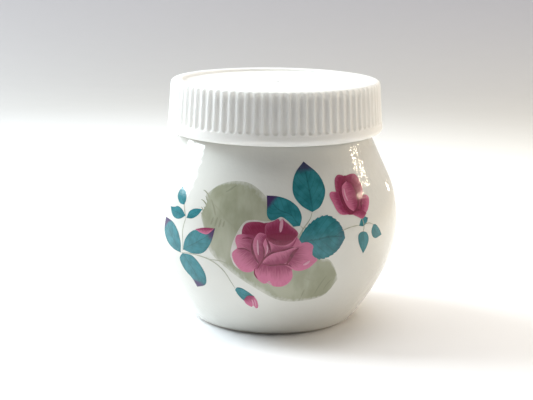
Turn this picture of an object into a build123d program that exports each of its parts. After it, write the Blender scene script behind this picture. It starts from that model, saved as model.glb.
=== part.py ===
from build123d import *
import os
from math import cos, pi, radians, sin, sqrt, tan

# Powder jar: a squat glazed porcelain jar with a screw cap, a liner in the cap, a sifter
# pressed into the mouth and a powder puff lying in the sifter's dish.
# Millimetres, +Z up. The origin is the centre of the foot ring, on the surface the jar
# stands on. The painted front of the jar faces -Y.

# ---- jar body: driving dimensions ----
foot_radius = 24.9        # outside of the foot ring
foot_width = 3.2          # radial width of the ring that touches the table
foot_step = 0.9           # bare height of the ring below the belly
foot_recess = 1.7         # depth of the hollow under the floor
foot_lip = 0.9            # how far the belly starts outside the ring
belly_radius = 38.85      # widest part of the belly
belly_height = 31.2       # height of the widest part
shoulder_height = 59.2    # height where the shoulder runs into the neck
base_slope = 52.0         # angle of the belly above the horizontal, at the foot
shoulder_slope = 65.5     # angle of the shoulder above the horizontal, at the neck
wall = 3.0                # wall of the belly
floor_thickness = 3.2
neck_radius = 29.0        # outside of the neck, at the root of the thread
neck_wall = 2.8
neck_length = 10.6        # neck above the shoulder
rim_round = 0.8
foot_round = 0.5
floor_round = 4.0         # inside corner between floor and belly

# ---- screw thread of the neck and the cap ----
thread_pitch = 4.2
thread_depth = 1.1        # radial height of a ridge
thread_base = 2.0         # axial width of a ridge at its root
thread_crest = 1.0        # axial width of a ridge at its crest
thread_lead_in = 3.2      # from the shoulder up to the start of the neck's ridge
thread_top_margin = 0.9   # plain neck left between the ridge's end and the rim
cap_turns_less = 0.2      # the cap's ridge is this many turns shorter than the neck's
thread_radial_gap = 0.35  # crest of one ridge to the root of the other
thread_flank_gap = 0.25   # between the loaded flanks, cap closed
thread_root = 0.3         # how deep a ridge's section reaches into its wall

# ---- screw cap ----
cap_wall = 1.2            # thinnest skirt wall, behind a flute near the top
cap_top_thickness = 1.5
cap_top_round = 1.3
cap_top_recess = 0.9
cap_top_land = 3.4        # radial width of the raised ring round the top
cap_draft = 4.0           # degrees, the skirt narrows upwards
cap_skirt_drop = 0.6      # the skirt ends this far below the shoulder's end
rim_band = 2.85           # height of the plain band under the flutes
rim_bulge = 0.2           # the band stands this proud of the ridges
rim_tuck = 1.3            # the band's lower edge curls in by this much
rim_curl = 1.7            # height of that curl
skirt_lead_in = 0.5       # chamfer inside the skirt's mouth
recess_slant = 0.4        # lean of the wall round the sunk top
recess_round = 0.4
flute_count = 82
flute_depth = 0.5
ridge_land = 0.2          # width left flat between two rounded shoulders
ridge_round = 0.4         # radius of the ridge's shoulders
flute_margin = 0.3        # from the plain band up to the flutes' round feet

# ---- liner, a foam disc snapped into the cap's ceiling ----
liner_thickness = 1.2
liner_side_gap = 0.15
liner_top_gap = 0.05
liner_seal_gap = 0.15     # liner to the sifter's flange, cap closed
liner_bead = 0.3          # bead in the skirt that holds the liner
liner_bead_height = 0.6

# ---- sifter, a perforated dish pressed into the mouth ----
sifter_press_gap = 0.02
sifter_wall = 1.0
sifter_flange = 1.6       # how far the flange lies out over the rim
sifter_flange_thickness = 0.8
sifter_depth = 9.3        # inside depth of the dish below its flange
sifter_floor = 1.0
sifter_round = 1.2
hole_radius = 1.0
hole_ring_spacing = 4.8
hole_rings = 4
holes_in_first_ring = 6

# ---- powder puff ----
puff_side_gap = 0.85
puff_floor_gap = 0.3
puff_lid_gap = 0.5        # top of the ribbon to the closed liner
puff_side_round = 3.2
velour_thickness = 1.2
satin_thickness = 0.5
ribbon_thickness = 0.4
ribbon_width = 13.0
ribbon_rise = 0.5         # air under the ribbon at the middle
sewn_gap = 0.05           # between the puff's own pieces

# ---- fits worked out from the sizes above ----
neck_bore = neck_radius - neck_wall
rim_height = shoulder_height + neck_length
floor_height = foot_recess + floor_thickness
thread_slope = (thread_base - thread_crest) / 2 / thread_depth
cap_bore = neck_radius + thread_depth + thread_radial_gap
cap_bottom = shoulder_height - cap_skirt_drop
flange_top = rim_height + sifter_flange_thickness
liner_bottom = flange_top + liner_seal_gap
cap_ceiling = liner_bottom + liner_thickness + liner_top_gap
recess_floor = cap_ceiling + cap_top_thickness
cap_top = recess_floor + cap_top_recess
cap_top_radius = cap_bore + cap_wall + flute_depth
flute_bottom = cap_bottom + rim_band
ridge_radius = cap_top_radius + (cap_top - flute_bottom) * tan(radians(cap_draft))
dish_radius = neck_bore - sifter_press_gap - sifter_wall
dish_floor = flange_top - sifter_depth


def belly_line(low_radius, low_height, wide_radius, top_radius):
    """Outline of the belly from the foot up to the neck, in four arcs that run smoothly on.

    Returns the first arc and the last."""
    base_angle = radians(base_slope)
    shoulder_angle = radians(shoulder_slope)
    low = Vector(low_radius, low_height)
    wide = Vector(wide_radius, belly_height)
    top = Vector(top_radius, shoulder_height)
    leaving_foot = Vector(cos(base_angle), sin(base_angle))
    upright = Vector(0, 1)
    reaching_neck = Vector(-cos(shoulder_angle), sin(shoulder_angle))
    first, _ = arc_pair(low, leaving_foot, wide, upright)
    _, last = arc_pair(wide, upright, top, reaching_neck)
    return first, last


def arc_pair(start, start_direction, end, end_direction):
    """Two arcs between two points, tangent to both directions and to each other."""
    across = end - start
    along = start_direction + end_direction
    spread = 2 * (1 - start_direction.dot(end_direction))
    reach = across.dot(along)
    handle = (sqrt(reach**2 + spread * across.dot(across)) - reach) / spread
    joint = (start + start_direction * handle + end - end_direction * handle) / 2
    first = TangentArc(start, joint, tangent=start_direction)
    second = TangentArc(joint, end, tangent=first % 1)
    return first, second


def ridge_section(direction):
    """Trapezoid section of a thread ridge; direction is 1 on the neck and -1 in the cap."""
    root_half = thread_base / 2 + thread_root * thread_slope
    Polygon(
        (-direction * thread_root, -root_half),
        (direction * thread_depth, -thread_crest / 2),
        (direction * thread_depth, thread_crest / 2),
        (-direction * thread_root, root_half),
        align=None,
    )


def ridge_end(surface_radius, direction, turns, start_height):
    """Place of a round ridge end: its plane looks along the radius from the ridge's root."""
    angle = 2 * pi * turns
    root_radius = surface_radius - direction * thread_root
    height = start_height + thread_pitch * turns
    outward = (cos(angle), sin(angle), 0)
    return Plane(
        origin=(root_radius * outward[0], root_radius * outward[1], height),
        z_dir=(direction * outward[0], direction * outward[1], 0),
    )


def add_thread(surface_radius, direction, turns, start_height):
    """Helical ridge with rounded ends; direction is 1 out from the neck, -1 in from the cap."""
    path = Helix(
        pitch=thread_pitch,
        height=thread_pitch * turns,
        radius=surface_radius,
        center=(0, 0, start_height),
        mode=Mode.PRIVATE,
    )
    with BuildSketch(Plane(origin=path @ 0, x_dir=(1, 0, 0), z_dir=path % 0)) as section:
        ridge_section(direction)
    sweep(section.sketch, path=path, is_frenet=True)
    for end_turns in (0, turns):
        with Locations(ridge_end(surface_radius, direction, end_turns, start_height)):
            Cone(
                bottom_radius=thread_base / 2 + thread_root * thread_slope,
                top_radius=thread_crest / 2,
                height=thread_depth + thread_root,
                align=(Align.CENTER, Align.CENTER, Align.MIN),
            )


neck_thread_start = shoulder_height + thread_lead_in
neck_turns = (
    neck_length - thread_lead_in - thread_base / 2 - thread_top_margin
) / thread_pitch
cap_turns = neck_turns - cap_turns_less
overlap_width = thread_crest + 2 * thread_slope * (thread_depth + thread_radial_gap) / 2
cap_thread_start = neck_thread_start - overlap_width - thread_flank_gap

# ---- jar body: thrown and glazed porcelain with a foot ring and a threaded neck ----
with BuildPart() as jar_body:
    with BuildSketch(Plane.XZ):
        with BuildLine():
            foot_arc, shoulder_arc = belly_line(
                foot_radius + foot_lip, foot_step, belly_radius, neck_radius
            )
            Polyline(
                shoulder_arc @ 1,
                (neck_radius, rim_height),
                (0, rim_height),
                (0, foot_recess),
                (foot_radius - foot_width, foot_recess),
                (foot_radius - foot_width, 0),
                (foot_radius, 0),
                (foot_radius, foot_step),
                foot_arc @ 0,
            )
        make_face()
    revolve(axis=Axis.Z)
    foot_edges = jar_body.edges().filter_by_position(Axis.Z, -0.01, 0.01)
    fillet(foot_edges, radius=min(foot_round, foot_width / 3))
    with BuildSketch(Plane.XZ):
        with BuildLine():
            inner_foot_arc, inner_shoulder_arc = belly_line(
                foot_radius, floor_height, belly_radius - wall, neck_bore
            )
            Polyline(
                inner_shoulder_arc @ 1,
                (neck_bore, rim_height + 1),
                (0, rim_height + 1),
                (0, floor_height),
                inner_foot_arc @ 0,
            )
        make_face()
    revolve(axis=Axis.Z, mode=Mode.SUBTRACT)
    rim_edges = jar_body.edges().filter_by_position(Axis.Z, rim_height - 0.01, rim_height + 0.01)
    fillet(rim_edges, radius=min(rim_round, neck_wall / 3))
    floor_edges = jar_body.edges().filter_by_position(
        Axis.Z, floor_height - 0.01, floor_height + 0.01
    )
    fillet(floor_edges, radius=floor_round)
    add_thread(neck_radius, 1, neck_turns, neck_thread_start)
jar_body.part.label = "jar_body"

# ---- flute cutter: a round groove with rolled shoulders, along the skirt's draft, with a
# rounded foot. Its section is drawn with x round the cap and y towards the cap's axis. ----
flute_half = pi * ridge_radius / flute_count - ridge_land / 2
shoulder_drop = ridge_round - flute_depth
groove_radius = (flute_half**2 + shoulder_drop**2 - ridge_round**2) / (
    2 * (ridge_round - shoulder_drop)
)
groove_centre = flute_depth - groove_radius
meeting = groove_radius / (groove_radius + ridge_round)
meeting_point = (
    meeting * flute_half,
    groove_centre + meeting * (ridge_round - groove_centre),
)
flute_foot = flute_bottom + flute_margin + flute_half
flute_plane = Plane(
    origin=(ridge_radius - (flute_foot - flute_bottom) * tan(radians(cap_draft)), 0, flute_foot),
    x_dir=(0, 1, 0),
    z_dir=(-sin(radians(cap_draft)), 0, cos(radians(cap_draft))),
)


def shoulder():
    """The ridge's rounded shoulder, from where the groove's floor meets it up to the crest."""
    return RadiusArc(meeting_point, (flute_half, 0), -ridge_round)


with BuildPart() as flute_cutter:
    with BuildSketch(flute_plane):
        with BuildLine():
            RadiusArc((0, flute_depth), meeting_point, groove_radius)
            shoulder()
            Polyline((flute_half, 0), (flute_half, -flute_depth), (0, -flute_depth))
            mirror(about=Plane.YZ)
        make_face()
    extrude(amount=2 * (cap_top - flute_bottom))
    with BuildSketch(flute_plane):
        with BuildLine():
            shoulder()
            Polyline(
                (flute_half, 0),
                (flute_half, -flute_depth),
                (0, -flute_depth),
                (0, meeting_point[1]),
                meeting_point,
            )
        make_face()
    revolve(axis=Axis(flute_plane.origin, flute_plane.y_dir))
    with Locations(flute_plane.location * Location((0, groove_centre, 0))):
        Sphere(groove_radius)

# ---- screw cap: moulded plastic, a fluted skirt over a plain band, and a sunk top ----
with BuildPart() as screw_cap:
    land_edge = cap_top_radius - cap_top_land
    with BuildSketch(Plane.XZ):
        with BuildLine():
            band_widest = (ridge_radius + rim_bulge, cap_bottom + rim_curl)
            curl = TangentArc(
                band_widest, (ridge_radius - rim_tuck, cap_bottom), tangent=(0, -1)
            )
            TangentArc(band_widest, (ridge_radius, flute_bottom), tangent=(0, 1))
            top = FilletPolyline(
                (ridge_radius, flute_bottom),
                (cap_top_radius, cap_top),
                (land_edge, cap_top),
                (land_edge - recess_slant, recess_floor),
                (0, recess_floor),
                radius=[cap_top_round, recess_round, recess_round],
            )
            Polyline(
                top @ 1,
                (0, cap_ceiling),
                (cap_bore, cap_ceiling),
                (cap_bore, cap_bottom + skirt_lead_in),
                (cap_bore + skirt_lead_in, cap_bottom),
                curl @ 1,
            )
        make_face()
    revolve(axis=Axis.Z)
    with PolarLocations(0, flute_count, start_angle=180 / flute_count):
        add(flute_cutter.part, mode=Mode.SUBTRACT)
    bead_bottom = liner_bottom - liner_top_gap - liner_bead_height
    with BuildSketch(Plane.XZ):
        with BuildLine():
            Polyline(
                (cap_bore + thread_root, bead_bottom),
                (cap_bore, bead_bottom),
                (cap_bore - liner_bead, bead_bottom + liner_bead),
                (cap_bore - liner_bead, bead_bottom + liner_bead_height),
                (cap_bore + thread_root, bead_bottom + liner_bead_height),
                close=True,
            )
        make_face()
    revolve(axis=Axis.Z)
    add_thread(cap_bore, -1, cap_turns, cap_thread_start)
screw_cap.part.label = "screw_cap"

# ---- cap liner: a closed-cell foam disc under the cap's ceiling ----
with BuildPart() as cap_liner:
    with BuildSketch(Plane.XY.offset(liner_bottom)):
        Circle(cap_bore - liner_side_gap)
    extrude(amount=liner_thickness)
cap_liner.part.label = "cap_liner"

# ---- sifter: moulded dish with a flange on the jar's rim and rings of holes in its floor ----
with BuildPart() as sifter:
    outer_radius = neck_bore - sifter_press_gap
    with BuildSketch(Plane.XZ):
        with BuildLine():
            Polyline(
                (0, dish_floor - sifter_floor),
                (outer_radius, dish_floor - sifter_floor),
                (outer_radius, rim_height),
                (outer_radius + sifter_flange, rim_height),
                (outer_radius + sifter_flange, flange_top),
                (dish_radius, flange_top),
                (dish_radius, dish_floor),
                (0, dish_floor),
                close=True,
            )
        make_face()
    revolve(axis=Axis.Z)
    low_edges = sifter.edges().filter_by_position(
        Axis.Z, dish_floor - sifter_floor - 0.01, dish_floor - sifter_floor + 0.01
    )
    fillet(low_edges, radius=sifter_round)
    with Locations((0, 0, dish_floor)):
        Hole(hole_radius, depth=2 * sifter_floor)
    for ring in range(1, hole_rings + 1):
        with Locations((0, 0, dish_floor)):
            with PolarLocations(ring * hole_ring_spacing, ring * holes_in_first_ring):
                Hole(hole_radius, depth=2 * sifter_floor)
sifter.part.label = "sifter"

# ---- powder puff: velour face and satin back sewn round a soft core, ribbon across the back ----
puff_radius = dish_radius - puff_side_gap
puff_bottom = dish_floor + puff_floor_gap
ribbon_top = liner_bottom - puff_lid_gap
puff_top = ribbon_top - ribbon_thickness - ribbon_rise
puff_seam = (puff_bottom + puff_top) / 2
side_round = min(puff_side_round, 0.85 * (puff_top - puff_seam))


def dome_section(radius, edge, crown, thickness):
    """Half section of a round shell from its open edge to its flat crown, above or below."""
    inner_crown = crown - thickness if crown > edge else crown + thickness
    with BuildLine() as outline:
        outside = FilletPolyline(
            (0, crown), (radius, crown), (radius, edge), radius=side_round
        )
        inside = FilletPolyline(
            (radius - thickness, edge),
            (radius - thickness, inner_crown),
            (0, inner_crown),
            radius=side_round - thickness,
        )
        Line(outside @ 1, inside @ 0)
        Line(inside @ 1, outside @ 0)
    make_face(outline.line)


with BuildPart() as puff_face:
    with BuildSketch(Plane.XZ):
        dome_section(puff_radius, puff_seam, puff_bottom, velour_thickness)
    revolve(axis=Axis.Z)
puff_face.part.label = "puff_face"

with BuildPart() as puff_back:
    with BuildSketch(Plane.XZ):
        dome_section(puff_radius, puff_seam + sewn_gap, puff_top, satin_thickness)
    revolve(axis=Axis.Z)
puff_back.part.label = "puff_back"

with BuildPart() as puff_core:
    core_radius = puff_radius - velour_thickness - sewn_gap
    core_bottom = puff_bottom + velour_thickness + sewn_gap
    core_top = puff_top - satin_thickness - sewn_gap
    with BuildSketch(Plane.XY.offset(core_bottom)):
        Circle(core_radius)
    extrude(amount=core_top - core_bottom)
    fillet(puff_core.edges().filter_by(GeomType.CIRCLE), radius=side_round - satin_thickness)
puff_core.part.label = "puff_core"

with BuildPart() as puff_ribbon:
    with BuildSketch(Plane.XZ):
        dome_section(
            puff_radius + sewn_gap + ribbon_thickness, puff_seam, ribbon_top, ribbon_thickness
        )
    revolve(axis=Axis.Z)
    with Locations((0, 0, puff_seam)):
        Box(
            3 * puff_radius,
            ribbon_width,
            4 * (ribbon_top - puff_seam),
            mode=Mode.INTERSECT,
        )
puff_ribbon.part.label = "puff_ribbon"

# ---- one STEP file for each piece ----
os.makedirs("parts", exist_ok=True)
for name, piece in {
    "jar_body": jar_body,
    "screw_cap": screw_cap,
    "cap_liner": cap_liner,
    "sifter": sifter,
    "puff_face": puff_face,
    "puff_core": puff_core,
    "puff_back": puff_back,
    "puff_ribbon": puff_ribbon,
}.items():
    export_step(piece.part, f"parts/{name}.step")
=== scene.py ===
import math

import bmesh
import bpy
import numpy as np
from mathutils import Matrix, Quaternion, Vector


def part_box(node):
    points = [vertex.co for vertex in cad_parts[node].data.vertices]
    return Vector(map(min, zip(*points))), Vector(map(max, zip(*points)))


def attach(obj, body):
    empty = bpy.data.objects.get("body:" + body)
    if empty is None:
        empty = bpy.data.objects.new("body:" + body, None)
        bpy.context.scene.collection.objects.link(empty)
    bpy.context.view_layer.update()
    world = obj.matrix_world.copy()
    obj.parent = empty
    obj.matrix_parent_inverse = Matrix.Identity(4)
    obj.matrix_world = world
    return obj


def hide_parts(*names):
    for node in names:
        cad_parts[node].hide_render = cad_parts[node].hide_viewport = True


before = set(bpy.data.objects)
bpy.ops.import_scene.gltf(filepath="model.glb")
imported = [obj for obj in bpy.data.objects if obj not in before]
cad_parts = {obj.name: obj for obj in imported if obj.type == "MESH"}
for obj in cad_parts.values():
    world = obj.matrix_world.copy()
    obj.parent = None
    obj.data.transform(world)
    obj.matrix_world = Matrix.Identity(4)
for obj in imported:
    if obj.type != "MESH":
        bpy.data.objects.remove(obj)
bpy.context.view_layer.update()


# ---- Jar body ---------------------------------------------------------------------------
# A squat jar of cast porcelain under a clear gloss glaze. It is fired standing on its foot
# ring, so the ring is wiped bare and shows the grey, slightly gritty biscuit.

class Shade:
    """A socket in a finish's nodes. Sums on it add Math nodes, and make adds any other node."""

    def __init__(self, tree, socket=None):
        self.tree = tree
        self.socket = socket

    def make(self, kind, settings={}, inputs={}, output=0):
        """Adds a node. Its settings are set first, then its sockets' values or links."""
        node = self.tree.nodes.new("ShaderNode" + kind)
        for name, value in settings.items():
            setattr(node, name, value)
        for name, value in inputs.items():
            if isinstance(value, Shade):
                self.tree.links.new(value.socket, node.inputs[name])
            else:
                node.inputs[name].default_value = value
        return Shade(self.tree, node.outputs[output] if node.outputs else None)

    def sum(self, operation, *terms):
        return self.make("Math", {"operation": operation}, dict(enumerate(terms)))

    def __add__(self, other):
        return self.sum("ADD", self, other)

    def __sub__(self, other):
        return self.sum("SUBTRACT", self, other)

    def __rsub__(self, other):
        return self.sum("SUBTRACT", other, self)

    def __mul__(self, other):
        return self.sum("MULTIPLY", self, other)

    __radd__ = __add__
    __rmul__ = __mul__

    def size(self):
        return self.sum("ABSOLUTE", self)

    def wave(self):
        return self.sum("SINE", self)

    def rise(self, low, high, bottom=0.0, top=1.0):
        """Goes smoothly from bottom to top as this goes from low to high."""
        span = {"Value": self, "From Min": low, "From Max": high, "To Min": bottom, "To Max": top}
        return self.make("MapRange", {"interpolation_type": "SMOOTHSTEP"}, span)

    def blend(self, first, second):
        """The first colour where this is 0 and the second where it is 1."""
        colours = [c if isinstance(c, Shade) else (*c, 1.0) for c in (first, second)]
        node = self.make("Mix", {"data_type": "RGBA"}).socket.node
        sockets = (node.inputs[0], node.inputs[6], node.inputs[7])
        for socket, value in zip(sockets, (self, *colours)):
            if isinstance(value, Shade):
                self.tree.links.new(value.socket, socket)
            else:
                socket.default_value = value
        return Shade(self.tree, node.outputs[2])

    def place(self, stretch=(1.0, 1.0, 1.0)):
        """Where a point is on its piece, in metres, stretched along the axes."""
        point = self.make("TexCoord", output=3)
        if stretch == (1.0, 1.0, 1.0):
            return point
        return self.make("Mapping", {}, {"Vector": point, "Scale": stretch})

    def parts(self, vector):
        """The three numbers of a place or of a printed piece's marks."""
        node = self.make("SeparateXYZ", {}, {"Vector": vector}).socket.node
        return [Shade(self.tree, socket) for socket in node.outputs]

    def from_axis(self):
        """How far a point is from the jar's upright axis."""
        x, y = self.parts(self.place())[:2]
        return self.sum("SQRT", x * x + y * y)

    def noise(self, scale, detail=2.0, vector=None):
        inputs = {"Scale": scale, "Detail": detail, "Vector": vector or self.place()}
        return self.make("TexNoise", {}, inputs)

    def bump(self, height, depth, under=None):
        """Relief of that depth in metres, over the relief under it."""
        inputs = {"Height": height, "Distance": depth}
        if under:
            inputs["Normal"] = under
        return self.make("Bump", {}, inputs)


def finish(name, nodes, **fixed):
    """A material. nodes(shade) gives the sockets that vary, and fixed those that don't."""
    material = bpy.data.materials.new(name)
    material.use_nodes = True
    shade = Shade(material.node_tree)
    shade.tree.nodes.clear()
    surface = shade.make("BsdfPrincipled", {}, {**fixed, **nodes(shade)})
    shade.make("OutputMaterial", {}, {"Surface": surface})
    return material


def paint(piece, material):
    piece.data.materials.clear()
    piece.data.materials.append(material)


glaze_white = (0.745, 0.735, 0.68)
biscuit_grey = (0.58, 0.55, 0.50)
bare_height = 0.0011       # the wiped ring's height, with a line that wavers a little
bare_fade = 0.0003


def porcelain(shade):
    height = shade.parts(shade.place())[2]
    bare = (height + 0.0004 * shade.noise(900)).rise(bare_height, bare_height + bare_fade, 1.0, 0.0)
    cloud = shade.noise(45, 3).rise(0.35, 0.7)
    glaze = cloud.blend(glaze_white, tuple(0.975 * c for c in glaze_white))
    gritty = shade.noise(5200, 3)
    flow = shade.bump(shade.noise(60, 1), 0.00016)
    peel = shade.bump(shade.noise(480, 2), 0.000085, flow)
    return {
        "Base Color": bare.blend(glaze, gritty.blend(biscuit_grey, (0.70, 0.67, 0.61))),
        "Roughness": bare * 0.62 + shade.noise(120, 2).rise(0.3, 0.7, 0.035, 0.075),
        "Normal": shade.bump(bare * gritty, 0.00006, peel),
    }


glaze_ior = 1.52
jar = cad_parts["jar_body"]
paint(jar, finish("glazed_porcelain", porcelain, IOR=glaze_ior))


# ---- Printed spray: the pieces' shared ground --------------------------------------------
# The flowers are an enamel transfer, slid onto the glazed jar and fired again. The colours
# lie on the glaze as thin films with crisp edges, a little rougher than the glaze itself.

mm = 0.001
belly_bottom, belly_top = 0.0015, 0.0590


def outside_line(node):
    """Heights and radii of the jar's outside, from the rings of points of its mesh."""
    rings = {}
    for vertex in node.data.vertices:
        radius = math.hypot(*vertex.co.xy)
        outwards = vertex.normal.xy.dot(vertex.co.xy) / radius if radius else 0.0
        if outwards > 0.3 and belly_bottom < vertex.co.z < belly_top:
            height = round(vertex.co.z, 5)
            rings[height] = max(rings.get(height, 0.0), radius)
    heights = sorted(rings)
    return np.array(heights), np.array([rings[height] for height in heights])


jar_heights, jar_radii = outside_line(jar)
belly_radius = jar_radii.max()


def on_jar(sheet, lift):
    """Places on the jar of points on the flat transfer: (mm round from the front, mm up)."""
    round_way, height = np.asarray(sheet, float).T * mm
    radius = np.interp(height, jar_heights, jar_radii)
    above = np.interp(height + mm / 2, jar_heights, jar_radii)
    below = np.interp(height - mm / 2, jar_heights, jar_radii)
    slope = (above - below) / mm
    turn = round_way / belly_radius
    out = lift / np.sqrt(1 + slope**2)
    reach = radius + out
    return np.stack([reach * np.sin(turn), -reach * np.cos(turn), height - out * slope], axis=1)


def smooth_line(points, count):
    """A smooth line through points, as count points evenly spaced along it."""
    points = np.array(points, float)
    ends = [2 * points[0] - points[1], *points, 2 * points[-1] - points[-2]]
    fine = []
    for before, here, there, after in zip(ends, ends[1:], ends[2:], ends[3:]):
        for t in np.linspace(0, 1, 16, endpoint=False):
            pull = (there - before) / 2, (after - here) / 2
            fine.append(
                here * (1 - 3 * t**2 + 2 * t**3)
                + there * (3 * t**2 - 2 * t**3)
                + pull[0] * (t - 2 * t**2 + t**3)
                + pull[1] * (t**3 - t**2)
            )
    fine = np.array([*fine, points[-1]])
    length = np.concatenate([[0], np.cumsum(np.hypot(*np.diff(fine, axis=0).T))])
    even = np.linspace(0, length[-1], count)
    return np.stack([np.interp(even, length, fine[:, k]) for k in range(2)], axis=1)


def close_sheet(shape, top, under):
    """Faces the two layers of a thin sheet and closes it round its rim."""
    steps, across = len(top) - 1, len(top[0]) - 1
    for i in range(steps):
        for j in range(across):
            shape.faces.new((top[i][j], top[i + 1][j], top[i + 1][j + 1], top[i][j + 1]))
            shape.faces.new((under[i][j], under[i][j + 1], under[i + 1][j + 1], under[i + 1][j]))
    rim = [(i, 0) for i in range(steps)] + [(steps, j) for j in range(across)]
    rim += [(i, across) for i in range(steps, 0, -1)] + [(0, j) for j in range(across, 0, -1)]
    for (a, b), (c, d) in zip(rim, rim[1:] + rim[:1]):
        shape.faces.new((top[a][b], under[a][b], under[c][d], top[c][d]))


def new_piece(name, shape, crease=None):
    """Turns a finished shape into a smooth piece, sharp where it bends over crease degrees."""
    mesh = bpy.data.meshes.new(name)
    shape.to_mesh(mesh)
    shape.free()
    mesh.shade_smooth()
    if crease:
        mesh.set_sharp_from_angle(angle=math.radians(crease))
    piece = bpy.data.objects.new(name, mesh)
    bpy.context.scene.collection.objects.link(piece)
    return piece


film_root = -0.12 * mm     # a film's underside is sunk this far into the glaze


class Film:
    """One colour's prints on the transfer, gathered into a single closed-film piece."""

    def __init__(self, name):
        self.name = name
        self.mesh = bmesh.new()
        self.marks = self.mesh.verts.layers.float_color.new("marks")

    def patch(self, near, far, lift, mark=0.0, along=40, across=14):
        """Enamel between two edge lines that share their ends, lift mm thick."""
        near, far = smooth_line(near, along + 1), smooth_line(far, along + 1)
        share = np.linspace(0, 1, across + 1)
        layers = []
        for height in (lift * mm, film_root):
            rows = []
            for step in range(along + 1):
                sheet = near[step] + share[:, None] * (far[step] - near[step])
                row = []
                for k, place in enumerate(on_jar(sheet, height)):
                    vertex = self.mesh.verts.new(place)
                    vertex[self.marks] = (step / along, share[k], mark, 1.0)
                    row.append(vertex)
                rows.append(row)
            layers.append(rows)
        close_sheet(self.mesh, *layers)

    def stroke(self, points, width, lift, mark=0.0, along=36):
        """A brush line of that width in mm, thinning out at both ends."""
        middle = smooth_line(points, along + 1)
        run = np.gradient(middle, axis=0)
        side = np.stack([-run[:, 1], run[:, 0]], axis=1) / np.hypot(*run.T)[:, None]
        swell = np.sin(np.linspace(0, math.pi, along + 1)) ** 0.5
        swell = (0.04 + 0.96 * swell)[:, None] * width / 2
        self.patch(middle - side * swell, middle + side * swell, lift, mark, along, 2)

    def made(self, material):
        """Turns the gathered films into one piece that rides on the jar."""
        bmesh.ops.remove_doubles(self.mesh, verts=self.mesh.verts, dist=2e-6)
        bmesh.ops.dissolve_degenerate(self.mesh, edges=self.mesh.edges, dist=1e-7)
        bmesh.ops.recalc_face_normals(self.mesh, faces=self.mesh.faces)
        piece = new_piece(self.name, self.mesh, crease=40)
        paint(piece, material)
        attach(piece, "jar")


def marks(shade):
    """How far along and across its patch a point is, and the patch's own mark."""
    return shade.parts(shade.make("Attribute", {"attribute_name": "marks"}))


def enamel(shade, colour):
    """The sockets of a fired colour: its finely pitted surface and the colour over it."""
    pits = shade.bump(shade.noise(2400, 2), 0.000012)
    body = shade.bump(shade.noise(420, 2), 0.000030, pits)
    return {
        "Base Color": colour,
        "Roughness": shade.noise(2600, 1).rise(0.35, 0.65, 0.10, 0.26),
        "Normal": body,
    }


# ---- Printed spray: shadow leaf ----------------------------------------------------------
# A broad olive-grey leaf printed first, behind everything else, in a thin wash with brush
# marks. Its left edge is dragged out into short dry hairs.

shadow_lift, hair_lift, brush_lift = 0.020, 0.024, 0.026
wash, dry_hair, brush_mark = 0.0, 1.0, 2.0
hairs, hair_width = 9, 0.34

shadow_film = Film("shadow_leaf_print")
shadow_film.patch(
    [(-22.6, 44.2), (-19, 46.9), (-14, 48.5), (-8.5, 48.3), (-4, 46), (0, 42), (5, 37),
     (10, 31.5), (13.5, 27.6), (16.8, 26.2), (19.2, 22.8), (20.6, 19.6)],
    [(-22.6, 44.2), (-21.6, 41.4), (-23, 38.6), (-22, 36), (-20.6, 32.5), (-19.3, 28), (-13.5, 23),
     (-6, 18), (1.5, 13.9), (9, 13.2), (17, 14.6), (20.6, 19.6)],
    shadow_lift, wash, along=90, across=40,
)
for hair in range(hairs):
    start = np.array((-21.8 + 0.5 * math.sin(hair * 2.1), 37.6 + 0.86 * hair))
    tip = start + (-1.3 - 0.6 * math.sin(hair * 1.7), 0.9 + 0.5 * math.cos(hair * 2.9))
    middle = (start + tip) / 2 + (0.0, 0.15)
    root = start + (1.5, -0.9)
    shadow_film.stroke([root, start, middle, tip], hair_width, hair_lift, dry_hair)

for points, width in (
    ([(-15.8, 45.4), (-14, 46.5), (-12.6, 47.5)], 0.9),
    ([(-20.2, 43), (-18.8, 40.8), (-18, 38.8)], 0.9),
    ([(-19.2, 36), (-18.6, 38.3)], 1.1),
    ([(-17.9, 35.6), (-17.2, 38.4)], 1.2),
    ([(-16.6, 35.5), (-16, 38)], 1.1),
    ([(-15.3, 35.7), (-14.9, 37.6)], 1.0),
    ([(13.4, 15.2), (14.6, 18.4), (16.4, 21.4)], 0.8),
    ([(16.2, 16.4), (17, 18.2), (18.4, 20)], 0.6),
    ([(9, 14.6), (9.8, 17.4)], 0.6),
):
    shadow_film.stroke(points, width, brush_lift, brush_mark)


def shadow_wash(shade):
    along, across, mark = marks(shade)
    brushed = shade.noise(260, 3, shade.place((1.0, 1.0, 0.35)))
    broad = shade.noise(95, 2)
    pooled = (brushed * 0.5 + broad * 0.5).rise(0.38, 0.62)
    vein = ((across - 0.5).size() * 9.0 - along * 14.0).wave().rise(0.80, 1.0)
    rib = (across - 0.52).size().rise(0.0, 0.02, 1.0, 0.0)
    tone = pooled.blend((0.315, 0.325, 0.225), (0.43, 0.43, 0.325))
    tone = ((vein + rib) * 0.30 * pooled).blend(tone, (0.24, 0.25, 0.165))
    dry = shade.noise(1100, 3, shade.place((1.0, 1.0, 0.5)))
    side = (across - 0.5).size() + 0.12 * dry - 0.06
    end = (along - 0.5).size() + 0.07 * dry - 0.035
    wash_only = mark.rise(0.0, 0.5, 1.0, 0.0)
    thin = (side.rise(0.42, 0.52) + end.rise(0.44, 0.505)) * wash_only * (0.5 + 0.4 * brushed)
    washed = thin.blend(tone, (0.70, 0.69, 0.63))
    soft_stroke = mark.rise(1.2, 1.8) * (across - 0.5).size().rise(0.0, 0.5, 0.55, 0.0)
    return enamel(shade, soft_stroke.blend(washed, (0.22, 0.23, 0.155)))


shadow_film.made(finish("shadow_enamel", shadow_wash, IOR=glaze_ior))


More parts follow.
